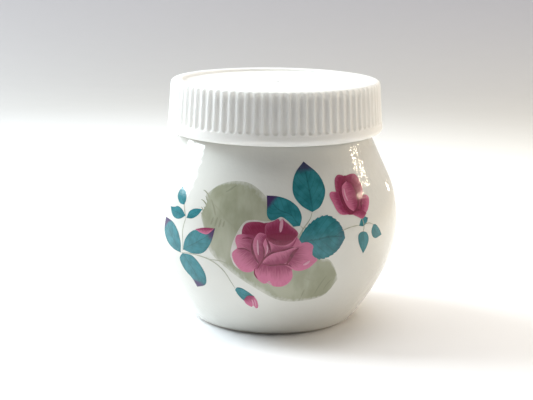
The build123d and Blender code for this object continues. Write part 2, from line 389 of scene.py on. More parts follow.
# ---- Printed spray: leaves ---------------------------------------------------------------
# Blue-green leaves with finely drawn darker veins. Some are tipped with violet. Each is
# drawn from its stalk to its point by its two edges.

leaf_lift = 0.036
plain, tipped = 0.0, 1.0

leaf_film = Film("leaf_prints")
leaves = [
    # above the rose
    ([(11.3, 40.6), (8.3, 42.3), (6, 45), (5.7, 48), (7, 51.3), (10.2, 54.2)],
     [(11.3, 40.6), (14, 42), (16.2, 45.3), (16.3, 48), (14.6, 51), (10.2, 54.2)], 0.8),
    ([(7.4, 36.9), (4.5, 36.8), (2.6, 38.2), (-0.8, 38.4), (-2.2, 39.8), (-2.3, 42.5),
      (-2.5, 45.2)],
     [(7.4, 36.9), (8, 39.4), (7, 42), (4.4, 44), (1, 45), (-2.5, 45.2)], tipped),
    # beside the bud
    ([(27, 35.2), (28.8, 34.9), (30.3, 35.8), (31, 37)],
     [(27, 35.2), (27.8, 36.7), (29.3, 37.6), (31, 37)], 0.35),
    ([(28.6, 33.4), (27, 33), (26.5, 31.6), (27.2, 29.3), (29, 26.6)],
     [(28.6, 33.4), (30.2, 32.6), (31, 30.6), (30.3, 28.4), (29, 26.6)], plain),
    ([(33.3, 34.7), (32.3, 33), (32.8, 31.2), (34.6, 30.3), (37.7, 30.8)],
     [(33.3, 34.7), (34.6, 34.4), (36.3, 32.8), (37.7, 30.8)], plain),
    # the small group on the left
    ([(-30.3, 40.2), (-32.3, 40.4), (-34, 41.7), (-34.4, 43.2), (-33.5, 45)],
     [(-30.3, 40.2), (-30, 41.8), (-31, 43.7), (-33.5, 45)], plain),
    ([(-28.9, 37.3), (-31, 36.1), (-33.2, 35.8), (-35.2, 36.7), (-36.6, 38.7)],
     [(-28.9, 37.3), (-31, 38.9), (-33, 39.4), (-34.6, 38.9), (-36.6, 38.7)], plain),
    ([(-28.4, 36.7), (-26.2, 36.9), (-24.2, 38.1), (-22.8, 40)],
     [(-28.4, 36.7), (-27.6, 38.7), (-25.6, 39.8), (-22.8, 40)], plain),
    # the large group on the left
    ([(-31, 25.8), (-34.4, 26.3), (-37.4, 28), (-38.9, 31), (-38.3, 35.3)],
     [(-31, 25.8), (-30.6, 28.8), (-31.6, 32), (-34.2, 34.4), (-38.3, 35.3)], tipped),
    ([(-29.7, 27), (-25.4, 26.5), (-21.6, 27.5), (-19, 30.8), (-17.7, 35.2)],
     [(-29.7, 27), (-28.4, 30.6), (-25.4, 33.5), (-21.4, 34.2), (-17.7, 35.2)], tipped),
    ([(-30.2, 25.8), (-31.9, 23.6), (-30.6, 20.4), (-28.2, 18), (-27.2, 15.3)],
     [(-30.2, 25.8), (-26, 25.7), (-23, 22.8), (-22, 19.6), (-23.2, 16.8), (-27.2, 15.3)], tipped),
    # the calyx of the low bud
    ([(-12.4, 16.6), (-11.6, 14.8), (-10, 13), (-8.6, 13.2), (-6.4, 14.9)],
     [(-12.4, 16.6), (-11.6, 17.5), (-10, 17.4), (-8, 16.2), (-6.4, 14.9)], plain),
]
for near, far, violet in leaves:
    leaf_film.patch(near, far, leaf_lift, violet)


def toothed(points, teeth, depth):
    """An edge line with small saw teeth along it."""
    line = smooth_line(points, 8 * teeth + 1)
    run = np.gradient(line, axis=0)
    side = np.stack([-run[:, 1], run[:, 0]], axis=1) / np.hypot(*run.T)[:, None]
    place = np.linspace(0, teeth, 8 * teeth + 1)
    reach = (place % 1.0) * np.sin(math.pi * place / teeth) * depth
    return line + side * reach[:, None]


tooth_depth = 0.35
leaf_film.patch(
    toothed(
        [(6.4, 31.2), (9, 30), (11, 28.4), (13.3, 27), (16.5, 27.5), (19.3, 29.3), (21.6, 32.4)],
        13, -tooth_depth,
    ),
    toothed(
        [(6.4, 31.2), (7.8, 34.4), (10, 37), (13, 38.8), (16.3, 39.2), (19.3, 37.3), (21, 34.6),
         (21.6, 32.4)],
        15, tooth_depth,
    ),
    leaf_lift, 0.2, along=120, across=16,
)


def leaf_green(shade):
    along, across, violet = marks(shade)
    off_rib = (across - 0.5).size()
    mottle = shade.noise(380, 3).rise(0.32, 0.68)
    rib = off_rib.rise(0.008, 0.035, 1.0, 0.0)
    side_veins = ((along * 46.0 - off_rib * 30.0).wave()).rise(0.80, 1.0)
    tone = mottle.blend((0.014, 0.158, 0.182), (0.034, 0.234, 0.268))
    tone = off_rib.rise(0.36, 0.5, 0.0, 0.35).blend(tone, (0.012, 0.120, 0.130))
    tone = (side_veins * 0.30 + rib * 0.5).blend(tone, (0.006, 0.085, 0.095))
    edge = along + 0.12 * shade.noise(500, 2) - 0.06
    tip = edge.rise(0.72, 0.84) * violet
    return enamel(shade, tip.blend(tone, (0.060, 0.030, 0.105)))


leaf_film.made(finish("leaf_enamel", leaf_green, IOR=glaze_ior))


# ---- Printed spray: stems ----------------------------------------------------------------
# Hair-thin olive stems join the leaf groups and the low bud, drawn over the shadow leaf.

stem_lift = 0.042

stem_film = Film("stem_prints")
for points, width in (
    ([(-31, 25.9), (-26, 26.3), (-20, 25.6), (-15.5, 22.8), (-12.2, 17)], 0.34),
    ([(-20, 25.6), (-16, 25.6), (-12.6, 24.4)], 0.26),
    ([(-28.6, 37), (-29.6, 33), (-29.6, 29), (-30, 26.4)], 0.22),
    ([(-28.8, 37), (-29.6, 38.6), (-30.3, 40.4)], 0.24),
    ([(11.3, 40.7), (10.4, 38.6), (8, 35.6), (5.4, 31.4)], 0.30),
    ([(7.6, 37), (8.2, 35.6), (6.4, 32.6), (5.6, 31)], 0.26),
    ([(20.4, 34.6), (24, 35.3), (27.4, 35.4)], 0.22),
    ([(28.4, 37.6), (29, 35), (28.6, 33.2)], 0.26),
    ([(29.2, 35.4), (31.4, 35.4), (33.4, 34.6)], 0.22),
):
    stem_film.stroke(points, width, stem_lift)


def stem_olive(shade):
    faded = shade.noise(600, 2).rise(0.3, 0.7)
    return enamel(shade, faded.blend((0.34, 0.345, 0.25), (0.48, 0.48, 0.38)))


stem_film.made(finish("stem_enamel", stem_olive, IOR=glaze_ior))


# ---- Printed spray: rose and buds --------------------------------------------------------
# The rose is built up petal by petal from the back, each deep crimson at its root and
# paler pink at its rim, on a thin white ground that shows as a halo on the left.

ground_lift, petal_lift, petal_step, line_lift, gleam_lift = 0.040, 0.050, 0.003, 0.118, 0.124

ground_film = Film("rose_ground_print")
ground_film.patch(
    [(-12.8, 27.5), (-12.6, 29.6), (-11.8, 32.4), (-10.1, 36), (-8.4, 38), (-5.6, 38.5),
     (-2.4, 38.2), (0, 38.6), (2.3, 39.4), (5.6, 36.6), (7, 34.4)],
    [(-12.8, 27.5), (-11.6, 24.6), (-9, 23.3), (-6, 23.4), (-2, 25), (2, 26.5), (5, 29),
     (6.6, 31.6), (7, 34.4)],
    ground_lift, along=60, across=24,
)


def rose_ground(shade):
    thin = shade.noise(500, 2).rise(0.3, 0.7)
    return enamel(shade, thin.blend((0.66, 0.60, 0.58), (0.56, 0.53, 0.47)))


ground_film.made(finish("ground_enamel", rose_ground, IOR=glaze_ior))

petal_film = Film("petal_prints")
pale, middling, deep, darkest = 0.0, 0.35, 0.68, 1.0
petals = [
    # each is its root edge, its rim, and how deep its colour is, from the back to the front
    ([(-5.2, 23.9), (-9.6, 25), (-11, 28.6), (-9.6, 33.6), (-6.2, 37), (-1.6, 37.9)],
     [(-5.2, 23.9), (0, 22.6), (5.4, 24.2), (9, 27), (8.4, 30.8), (6.4, 34), (3.2, 38.1),
      (-1.6, 37.9)], 0.5),
    ([(-1.8, 37.4), (-3, 34), (-5, 32.6), (-9.4, 33)],
     [(-1.8, 37.4), (-4.6, 38), (-8, 37.6), (-9.3, 35.8), (-9.4, 33)], 0.82),
    ([(-9.0, 34.4), (-6, 34), (-5.4, 31), (-6, 28.5), (-10.4, 29.2)],
     [(-9.0, 34.4), (-10.9, 33.8), (-11.3, 32.2), (-10.9, 30.8), (-10.4, 29.2)], middling),
    ([(-10.6, 30.2), (-7.2, 29.8), (-5.4, 28), (-4.6, 26), (-5, 24.2)],
     [(-10.6, 30.2), (-12.2, 28.6), (-12, 26.4), (-10.8, 24.4), (-9.3, 23.1), (-7.4, 22.9),
      (-6, 23.5), (-5, 24.2)],
     pale),
    ([(4.3, 25.2), (4.5, 27), (5.5, 29.2), (6.3, 30.9)],
     [(4.3, 25.2), (6, 23.8), (8, 23.6), (10.2, 24.3), (11.8, 25.6), (12.8, 26.8), (11.3, 28),
      (11.1, 29.5), (11.3, 31), (9.8, 32.1), (8, 32), (6.3, 30.9)], pale),
    ([(-5.6, 24.3), (-3, 25.7), (0, 25.3), (3, 25.4), (5.3, 24.1)],
     [(-5.6, 24.3), (-5.8, 22.4), (-5, 20.9), (-3.4, 19.6), (-2.2, 19.6), (-1.3, 20.4),
      (-0.5, 18.9), (1, 18.5), (3, 18.7), (4.7, 19.9), (5.6, 21.8), (5.3, 24.1)], pale),
    ([(-2.4, 34.6), (-2.4, 31.5), (-3.2, 28.5), (-4.6, 25.4)],
     [(-2.4, 34.6), (-4.4, 34.9), (-5.8, 33), (-6.2, 30.4), (-5.6, 27.8), (-4.6, 25.4)], middling),
    ([(-1.4, 32.2), (-1.1, 30), (-2, 28.2), (-3.1, 26.8)],
     [(-1.4, 32.2), (-2.4, 33.4), (-3.2, 31.6), (-2.9, 29.4), (-3.1, 26.8)], pale),
    ([(-1.2, 29.3), (1, 29.8), (3.4, 30.4), (5.3, 31.1), (6.9, 34.4)],
     [(-1.2, 29.3), (-1.6, 31.6), (-1.2, 32.9), (1, 31.8), (3.4, 31.5), (5.2, 32.5),
      (6.9, 34.4)], 0.2),
    ([(1.6, 34.6), (1.0, 34.4), (-0.6, 34.2), (-2.2, 33.4)],
     [(1.6, 34.6), (1.4, 38.7), (-0.4, 38.3), (-2.4, 37.4), (-2.7, 35.4), (-2.2, 33.4)], deep),
    ([(1.4, 34.8), (2.6, 34.4), (4.6, 34.2), (5.9, 33.4)],
     [(1.4, 34.8), (2.0, 38.8), (3.2, 38.2), (4.8, 36.9), (6.4, 35.6), (6.8, 34.5),
      (5.9, 33.4)], deep),
    ([(-2.3, 34.2), (-0.4, 34.8), (2, 35), (4.4, 34.6), (6.6, 34.4)],
     [(-2.3, 34.2), (-1.6, 32.8), (-0.2, 31.8), (1.6, 31.3), (3.4, 31.5), (5.2, 32.6),
      (6.6, 34.4)], darkest),
    ([(-3.4, 25.9), (-1, 25.5), (1.6, 25.7), (3.6, 26.4), (5.4, 28.6), (6.9, 30.7)],
     [(-3.4, 25.9), (-2.5, 27.6), (-0.6, 29), (2, 29.8), (4.5, 30.5), (6.9, 30.7)], 0.32),
    # the bud on the right
    ([(23.5, 38.8), (20.9, 41.2), (20.5, 45.3), (22, 48.6), (25, 49.5)],
     [(23.5, 38.8), (28.8, 38.6), (30.2, 42.5), (30.4, 46.5), (28.6, 49), (25, 49.5)], 0.9),
    ([(24, 39.2), (22.3, 42), (22.2, 45.5), (23.2, 48), (25, 49.3)],
     [(24, 39.2), (20.6, 43), (20.2, 46), (20.8, 48.8), (22.3, 49.9), (24, 49.7),
      (25, 49.3)], deep),
    ([(23.6, 38.9), (21.6, 41), (21.3, 44), (20.3, 45.5)],
     [(23.6, 38.9), (21, 39.1), (19.5, 40.2), (18.4, 42.5), (17.6, 44.5), (18.3, 45.6),
      (20.3, 45.5)], middling),
    ([(28.3, 39.2), (27.4, 42), (27.2, 45), (26.4, 47.6), (25, 49.3)],
     [(28.3, 39.2), (30.2, 43), (31.3, 45.3), (31.2, 47.4), (30.2, 49.3), (28, 49.7),
      (25, 49.3)], deep),
    ([(28.4, 39), (29, 41), (29.5, 42.5), (31, 43.6)],
     [(28.4, 39), (30.4, 38.6), (31.9, 40), (33, 42.2), (32.4, 43.3), (31, 43.6)], middling),
    ([(24.3, 39), (26.8, 39.9), (28.8, 39.5), (30.6, 38.4)],
     [(24.3, 39), (26.4, 38), (28.6, 37.1), (30.6, 38.4)], 0.55),
    ([(25.8, 39.4), (27.5, 41.5), (27.9, 44), (27.3, 46.5), (25.2, 48)],
     [(25.8, 39.4), (23.4, 41), (22.3, 44), (22.8, 46.6), (25.2, 48)], 0.25),
    # the pink edge of the large leaf on the left
    ([(-24.6, 34.0), (-21.4, 34.9), (-17.9, 35.1)],
     [(-24.6, 34.0), (-22.4, 33.3), (-20.2, 33.2), (-17.9, 35.1)], middling),
    # the low bud
    ([(-10, 13.3), (-8.4, 14.9), (-6.4, 15)],
     [(-10, 13.3), (-9.3, 11.9), (-7.6, 11), (-6.9, 11.6), (-6.1, 10.6), (-5.3, 11), (-5.4, 13),
      (-6.4, 15)], pale),
]
for layer, (root, rim, depth) in enumerate(petals):
    petal_film.patch(root, rim, petal_lift + petal_step * layer, depth, along=48, across=16)


def petal_pink(shade):
    along, across, depth = marks(shade)
    fibres = shade.make(
        "CombineXYZ", {}, {"X": along * 34.0 + depth * 9.0, "Y": across * 2.2, "Z": depth * 5.0}
    )
    streak = shade.noise(1.0, 2, fibres).rise(0.34, 0.66)
    mottle = shade.noise(430, 2).rise(0.3, 0.7)
    opened = (across + 0.22 * streak - 0.10 - 0.56 * depth).rise(0.02, 0.80)
    tone = opened.blend((0.28, 0.026, 0.088), (0.60, 0.165, 0.285))
    tone = (depth.rise(0.3, 1.0) * 0.80).blend(tone, (0.20, 0.010, 0.040))
    tone = (streak * 0.16).blend(tone, (0.34, 0.030, 0.120))
    rim = across.rise(0.93, 1.0) * mottle * 0.35
    return enamel(shade, rim.blend(tone, (0.70, 0.32, 0.42)))


petal_film.made(finish("petal_enamel", petal_pink, IOR=glaze_ior))

# dark lines between the petals, and the pale gleams on the cup, the petals and the buds
line_weight = 1.35
dark_line, gleaming = 0.0, 1.0
line_film = Film("petal_line_prints")
for points, width in (
    ([(-4.9, 24.1), (-4, 25.6), (-2.8, 27.5), (-1, 29), (0.6, 29.6), (3, 30.1), (5.7, 30.9)], 0.42),
    ([(-6, 33), (-6.4, 31), (-6, 29), (-5.3, 27.4), (-4.4, 25.8)], 0.50),
    ([(-3.4, 31.8), (-2.9, 30), (-2.9, 28.4), (-3.2, 27)], 0.34),
    ([(-2.3, 33.4), (-1.4, 31.2), (-1, 29.4)], 0.40),
    ([(-3.4, 25.8), (-1, 25.4), (2, 25.7), (4.2, 25.5), (5.2, 24.9)], 0.36),
    ([(3.6, 25.6), (4.5, 27.3), (5.5, 29.1), (7.0, 30.6)], 0.72),
    ([(-10.6, 29.9), (-8.6, 30.1), (-6.8, 29.3)], 0.24),
    ([(-5.6, 24.3), (-5.7, 22.6), (-4.9, 21)], 0.30),
    ([(-9.3, 33.1), (-7.6, 33.3), (-6.2, 33.1)], 0.26),
    ([(-1.6, 33.8), (0.2, 33), (2.2, 32.4), (4.4, 32.9)], 0.36),
    ([(21.4, 45.6), (21.6, 43), (22.4, 41), (23.8, 39.4)], 0.42),
    ([(25.4, 39.2), (23.2, 41), (22.1, 44), (22.7, 46.8), (25.2, 48.2)], 0.34),
    ([(25.8, 39.2), (27.6, 41.4), (28, 44), (27.4, 46.8), (25.2, 48.2)], 0.60),
    ([(28.6, 39.4), (28.9, 41.4), (29.8, 42.8)], 0.36),
    ([(24.4, 39), (26.6, 39.8), (28.8, 39.4)], 0.44),
):
    line_film.stroke(points, line_weight * width, line_lift, dark_line)
for points, width in (
    ([(2.2, 39.0), (2.0, 37.4), (1.7, 35.2)], 0.95),
    ([(-7.2, 13.8), (-6.9, 12.6), (-6.9, 11.4)], 0.42),
    ([(-6.4, 13.8), (-6.1, 12.6), (-6.0, 11.0)], 0.30),
    ([(-4.8, 33), (-4.7, 30.5), (-4.5, 28.4)], 0.50),
    ([(-2.1, 31.6), (-1.9, 30.2), (-2.2, 28.8)], 0.40),
    ([(23.4, 46.2), (23.3, 44.4), (23.8, 42.6)], 0.50),
    ([(8.5, 25.4), (9.5, 25.8), (10.5, 26.6)], 0.70),
    ([(-2.1, 20.0), (-1.3, 19.7), (-0.6, 19.3)], 0.60),
):
    line_film.stroke(points, width, gleam_lift, gleaming)


def line_crimson(shade):
    along, across, gleam = marks(shade)
    dark = shade.noise(700, 2).rise(0.3, 0.7).blend((0.14, 0.006, 0.030), (0.24, 0.016, 0.062))
    return enamel(shade, (gleam * 0.9).blend(dark, (0.70, 0.36, 0.46)))


line_film.made(finish("line_enamel", line_crimson, IOR=glaze_ior))


# ---- Screw cap --------------------------------------------------------------------------
# One moulding in white plastic, semi-gloss, with fine flutes to grip. Light goes a little
# way into it, so the flutes look soft. The gate leaves a small witness on the sunk top.

cap_white = (0.86, 0.84, 0.795)
gate_radius = 0.0012
gate_bottom, gate_top = 0.0725, 0.0730     # heights between which the sunk top lies


def moulded_plastic(shade):
    from_gate = shade.from_axis()
    cloud = shade.noise(60, 2).rise(0.3, 0.7)
    grain = shade.bump(shade.noise(4200, 2), 0.000006)
    flow = shade.bump(shade.noise(90, 1), 0.00006, grain)
    on_top = shade.parts(shade.place())[2].rise(gate_bottom, gate_top)
    gate = from_gate.rise(gate_radius - 0.0001, gate_radius + 0.0002, 1.0, 0.0) * on_top
    ring = (from_gate - gate_radius).size().rise(0.0, 0.0003, 1.0, 0.0) * on_top
    shaded = tuple(0.965 * c for c in cap_white)
    return {
        "Base Color": (0.6 * cloud + 0.3 * ring).blend(cap_white, shaded),
        "Roughness": shade.noise(300, 3).rise(0.3, 0.7, 0.30, 0.42) - 0.08 * gate,
        "Normal": shade.bump(gate - ring, 0.00008, flow),
    }


glow_through = {
    "Subsurface Weight": 0.75,
    "Subsurface Radius": (1.0, 1.0, 1.0),
    "Subsurface Scale": 0.0035,
}
cap_plastic = finish("cap_plastic", moulded_plastic, IOR=1.49, **glow_through)
paint(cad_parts["screw_cap"], cap_plastic)


# ---- Cap liner ---------------------------------------------------------------------------
# A disc of white foamed plastic, punched from sheet and pressed up into the cap. Its closed
# cells show as a fine pebbled skin, and the rim of the jar has left a ring pressed in it.

pressed_radius = 0.0277


def foam_skin(shade):
    cells = shade.make("TexVoronoi", {}, {"Vector": shade.place(), "Scale": 2400.0})
    ring = (shade.from_axis() - pressed_radius).size().rise(0.0008, 0.0013, 1.0, 0.0)
    pressed = shade.bump(1.0 - ring, 0.00012)
    tone = shade.noise(160, 2).rise(0.3, 0.7).blend((0.80, 0.80, 0.78), (0.74, 0.735, 0.71))
    return {
        "Base Color": (ring * 0.5).blend(tone, (0.66, 0.655, 0.63)),
        "Roughness": 0.62 - 0.14 * ring,
        "Normal": shade.bump(cells, 0.00004, pressed),
    }


paint(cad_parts["cap_liner"], finish("liner_foam", foam_skin, IOR=1.45))


# ---- Sifter ------------------------------------------------------------------------------
# A dish of soft, milky plastic pressed into the jar's mouth. It is pierced with rings of
# holes that shake the powder out, and a bloom of powder clings round them.

pierced_radius = 0.0235


def milky_plastic(shade):
    centre = shade.from_axis()
    pierced = centre.rise(pierced_radius, pierced_radius + 0.0015, 1.0, 0.0)
    dusted = shade.noise(220, 4).rise(0.45, 0.62) * pierced
    turned = (centre * 5200.0).wave() * 0.5 + 0.5
    fine = shade.bump(turned, 0.000004)
    tone = shade.noise(70, 2).rise(0.3, 0.7).blend((0.74, 0.735, 0.70), (0.69, 0.685, 0.645))
    return {
        "Base Color": (dusted * 0.8).blend(tone, (0.84, 0.74, 0.66)),
        "Roughness": 0.30 + dusted * 0.5,
        "Normal": shade.bump(dusted * shade.noise(3000, 2), 0.00005, fine),
    }


paint(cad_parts["sifter"], finish("sifter_plastic", milky_plastic, IOR=1.51))


# ---- Powder puff -------------------------------------------------------------------------
# A round pad of white velour, sewn to a pink satin back and stuffed with soft wadding. It
# lies velour side down on the sifter. The edge seam gathers both cloths into small pleats.

face_low, face_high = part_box("puff_face")
puff_radius = face_high.x
seam_height = face_high.z
puff_bottom = face_low.z
puff_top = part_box("puff_back")[1].z
puff_swell = 0.0007        # how far the stuffing may push the cloth out
edge_inset = 0.0010        # how much smaller the pad is cut at its edge
seam_pleats = 64
seam_pull = 0.0021         # how far from the seam its pull is felt
edge_fullness, crown_fullness = 0.55, 0.9


def round_pad(radius, bottom, top, rings=14, around=72):
    """A closed lens-shaped pad with its edge at the height of the seam."""
    pad = bmesh.new()
    rows = []
    for step in range(1, 2 * rings):
        angle = math.pi * step / (2 * rings)
        reach = radius * math.sin(angle) ** edge_fullness
        depth = seam_height - bottom if step < rings else top - seam_height
        crown = math.copysign(abs(math.cos(angle)) ** crown_fullness, math.cos(angle))
        height = seam_height - depth * crown
        row = []
        for k in range(around):
            turn = 2 * math.pi * k / around
            row.append(pad.verts.new((reach * math.cos(turn), reach * math.sin(turn), height)))
        rows.append(row)
    for lower, upper in zip(rows, rows[1:]):
        for k in range(around):
            n = (k + 1) % around
            pad.faces.new((lower[k], lower[n], upper[n], upper[k]))
    for row, height, order in ((rows[0], bottom, -1), (rows[-1], top, 1)):
        pole = pad.verts.new((0.0, 0.0, height))
        for k in range(around):
            pair = (row[k], row[(k + 1) % around])[::order]
            pad.faces.new((*pair, pole))
    return new_piece("pad", pad)


def with_modifiers(piece):
    """The piece's mesh with its modifiers applied."""
    graph = bpy.context.evaluated_depsgraph_get()
    made = bpy.data.meshes.new_from_object(piece.evaluated_get(graph))
    piece.modifiers.clear()
    piece.data = made


def stuffed(piece, pressure=4.0, frames=20):
    """Lets the pad's cloth swell with its stuffing, and keeps what that gives."""
    remesh = piece.modifiers.new("remesh", "REMESH")
    remesh.mode = "VOXEL"
    remesh.voxel_size = 0.0010
    with_modifiers(piece)
    before = np.array([v.co for v in piece.data.vertices])
    cloth = piece.modifiers.new("cloth", "CLOTH")
    cloth.settings.quality = 5
    cloth.settings.mass = 0.05
    cloth.settings.tension_stiffness = 12
    cloth.settings.compression_stiffness = 12
    cloth.settings.shear_stiffness = 8
    cloth.settings.bending_stiffness = 0.02
    cloth.settings.use_pressure = True
    cloth.settings.uniform_pressure_force = pressure
    cloth.settings.effector_weights.gravity = 0.0
    cloth.collision_settings.use_collision = False
    cloth.point_cache.frame_start, cloth.point_cache.frame_end = 1, frames
    for step in range(1, frames + 1):
        bpy.context.scene.frame_set(step)
    with_modifiers(piece)
    bpy.context.scene.frame_set(1)
    after = np.array([v.co for v in piece.data.vertices])
    moved = after - before
    length = np.linalg.norm(moved, axis=1, keepdims=True)
    capped = before + moved * np.minimum(1.0, puff_swell / np.maximum(length, 1e-9))
    piece.data.vertices.foreach_set("co", capped.ravel())


pad = round_pad(puff_radius - edge_inset, puff_bottom + puff_swell, puff_top - puff_swell)
stuffed(pad)
smoother = pad.modifiers.new("finer", "SUBSURF")
smoother.levels = 1
with_modifiers(pad)


def gathered(place):
    """Where a point of the pad goes once the seam is sewn: drawn in, with pleats beside it."""
    turn = math.atan2(place.y, place.x)
    reach = math.hypot(place.x, place.y)
    near = max(0.0, 1.0 - abs(place.z - seam_height) / seam_pull)
    edge = min(1.0, max(0.0, (reach - 0.55 * puff_radius) / (0.45 * puff_radius)))
    uneven = 0.6 + 0.4 * math.sin(3 * turn + 1.0) * math.sin(7 * turn)
    pleat = math.sin(seam_pleats * turn + 2.0 * math.sin(5 * turn)) * uneven
    draw = -0.0011 * near**2 + 0.00022 * pleat * edge**2 * (1.0 - near**3)
    lift = 0.00010 * math.sin(4 * turn + 0.6) * edge
    lift += 0.00012 * math.sin(220 * place.x) * (1 - edge)
    away = math.copysign(1.0, place.z - seam_height)
    grown = 1 + draw / reach
    return Vector((place.x * grown, place.y * grown, place.z + away * lift))


for vertex in pad.data.vertices:
    if vertex.co.xy.length > 1e-4:
        vertex.co = gathered(vertex.co)


def half_of_pad(name, side):
    """The part of the pad on one side of the seam, closed where it meets the other."""
    half = bmesh.new()
    half.from_mesh(pad.data)
    geometry = half.verts[:] + half.edges[:] + half.faces[:]
    middle, way = (0, 0, seam_height), (0, 0, side)
    cut = bmesh.ops.bisect_plane(
        half, geom=geometry, dist=1e-7, plane_co=middle, plane_no=way, clear_inner=True
    )
    rim = [edge for edge in cut["geom_cut"] if isinstance(edge, bmesh.types.BMEdge)]
    bmesh.ops.contextual_create(half, geom=rim)
    bmesh.ops.recalc_face_normals(half, faces=half.faces)
    return new_piece(name, half, crease=70)


def velour(shade):
    lay = shade.noise(170, 3).rise(0.3, 0.7)
    tuft = shade.noise(2600, 3)
    clump = shade.bump(shade.noise(620, 3), 0.00022)
    tone = lay.blend((0.80, 0.76, 0.74), (0.70, 0.645, 0.63))
    dust = shade.noise(120, 2).rise(0.5, 0.7) * 0.35
    return {
        "Base Color": dust.blend(tone, (0.80, 0.62, 0.52)),
        "Roughness": 0.85 + 0.1 * lay,
        "Normal": shade.bump(tuft, 0.00016, clump),
    }


def woven_satin(deep, light):
    """Satin between those two colours, paler on its floats and in long streaks of painted sheen.
    Its floats run along X, over fine ribs.
    """

    def nodes(shade):
        x, y = shade.parts(shade.place())[:2]
        floats = (y * 26000.0 + shade.noise(700, 2) * 3.0).wave() * 0.5 + 0.5
        picks = (x * 9000.0).wave() * 0.5 + 0.5
        # painted sheen: long paler streaks that run with the floats
        painted_sheen = shade.noise(90, 2, shade.place((0.3, 1.0, 1.0))).rise(0.35, 0.65)
        return {
            "Base Color": (0.5 * painted_sheen + 0.3 * floats).blend(deep, light),
            "Roughness": 0.26 + 0.16 * floats,
            "Normal": shade.bump(floats + 0.35 * picks, 0.000022),
        }

    return nodes


velour_nap = {"Sheen Weight": 0.8, "Sheen Roughness": 0.45, "IOR": 1.45}
velour_half = half_of_pad("puff_velour", -1)
paint(velour_half, finish("puff_velour", velour, **velour_nap))
satin_lustre = {"Sheen Weight": 0.3, "Anisotropic": 0.5, "IOR": 1.5}
satin_pink = woven_satin((0.50, 0.20, 0.235), (0.66, 0.34, 0.37))
satin_half = half_of_pad("puff_satin_back", 1)
paint(satin_half, finish("puff_satin", satin_pink, **satin_lustre))
bpy.data.objects.remove(pad)

# the corded piping that covers the seam: a twisted cord in the satin's colour
piping_radius = 0.00055
piping_reach = puff_radius - 0.0011
steps, sides, twists = 360, 12, 150
piping = bmesh.new()
rows = []
for step in range(steps):
    turn = 2 * math.pi * step / steps
    row = []
    for k in range(sides):
        angle = 2 * math.pi * k / sides
        plump = piping_radius * (1.0 + 0.10 * math.cos(2 * angle - twists * turn))
        reach = piping_reach + plump * math.cos(angle)
        height = seam_height + plump * math.sin(angle)
        row.append(piping.verts.new((reach * math.cos(turn), reach * math.sin(turn), height)))
    rows.append(row)
for step in range(steps):
    here, there = rows[step], rows[(step + 1) % steps]
    for k in range(sides):
        n = (k + 1) % sides
        piping.faces.new((here[k], there[k], there[n], here[n]))
seam_cord = new_piece("puff_piping", piping)


def corded(shade):
    x, y, z = shade.parts(shade.place())
    turn = shade.sum("ARCTAN2", y, x)
    strand = (turn * 300.0 + z * 9000.0).wave() * 0.5 + 0.5
    return {
        "Base Color": strand.blend((0.42, 0.15, 0.19), (0.62, 0.30, 0.33)),
        "Roughness": 0.42 + 0.2 * strand,
        "Normal": shade.bump(strand, 0.00006),
    }


paint(seam_cord, finish("puff_piping", corded, IOR=1.5))

# the satin ribbon to hold it by: sewn in at both ends, it lies over the back with a little
# slack, and its edges curl up very slightly
ribbon_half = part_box("puff_ribbon")[1].y
ribbon_thick = 0.00035
ribbon_end = puff_radius - 0.0016
ribbon_clear = 0.00008     # air between the ribbon and the back, so that they don't touch


def back_height(x, y):
    """Height of the pad's back at a place, from the made mesh."""
    above, down = Vector((x, y, seam_height + 0.03)), Vector((0, 0, -1))
    hit, place = satin_half.ray_cast(above, down)[:2]
    return place.z if hit else seam_height


ribbon = bmesh.new()
steps, across = 96, 16
layers = []
for side in (0.0, 1.0):
    rows = []
    for step in range(steps + 1):
        along = -1 + 2 * step / steps
        x = ribbon_end * along
        slack = 0.0005 * (1 - along**2) + 0.00010 * math.sin(9 * along) * (1 - along**4)
        row = []
        for k in range(across + 1):
            share = -1 + 2 * k / across
            width = ribbon_half * (1.0 - 0.10 * abs(along) ** 6)
            y = share * width
            inside = math.sqrt(max(0.0, ribbon_end**2 - y**2)) / ribbon_end
            ridge = 0.00012 * math.cos(5 * math.pi * share) * abs(along) ** 4
            base = max(back_height(0.985 * x * inside, 0.985 * y), seam_height + 0.0001)
            curl = 0.0001 * share**6
            height = base + ribbon_clear + slack + ridge + curl + side * ribbon_thick
            row.append(ribbon.verts.new((x * inside, y, height)))
        rows.append(row)
    layers.append(rows)
under, over = layers
close_sheet(ribbon, over, under)
bmesh.ops.recalc_face_normals(ribbon, faces=ribbon.faces)
strap = new_piece("puff_ribbon_band", ribbon, crease=50)
ribbon_white = woven_satin((0.66, 0.58, 0.57), (0.82, 0.77, 0.75))
paint(strap, finish("ribbon_satin", ribbon_white, **satin_lustre))

for piece, slot in (
    (velour_half, "puff_velour"),
    (satin_half, "puff_satin"),
    (seam_cord, "puff_satin"),
    (strap, "ribbon_satin"),
):
    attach(piece, "puff")
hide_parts("puff_face", "puff_core")
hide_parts("puff_back")
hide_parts("puff_ribbon")


# ---- Table, light and camera ------------------------------------------------------------
# A round white table that curves up into a wall all round, a window behind on the left, a
# soft sky above, and small warm lamps and a sunlit wall on the right. The table's colour is
# painted light: greyer with distance and up the wall, and painted shade on the camera's side.

table_reach = 0.55
curve_radius = 0.55
wall_top = 1.6
table_segments = 96
curve_steps = 24


def table_line():
    """Distances and heights from the middle of the table, out over the curve, up the wall."""
    line = [(0.08, 0.0), (0.25, 0.0), (table_reach, 0.0)]
    for step in range(1, curve_steps + 1):
        angle = math.radians(90 * step / curve_steps)
        reach = table_reach + curve_radius * math.sin(angle)
        line.append((reach, curve_radius * (1 - math.cos(angle))))
    line.append((table_reach + curve_radius, wall_top))
    return line


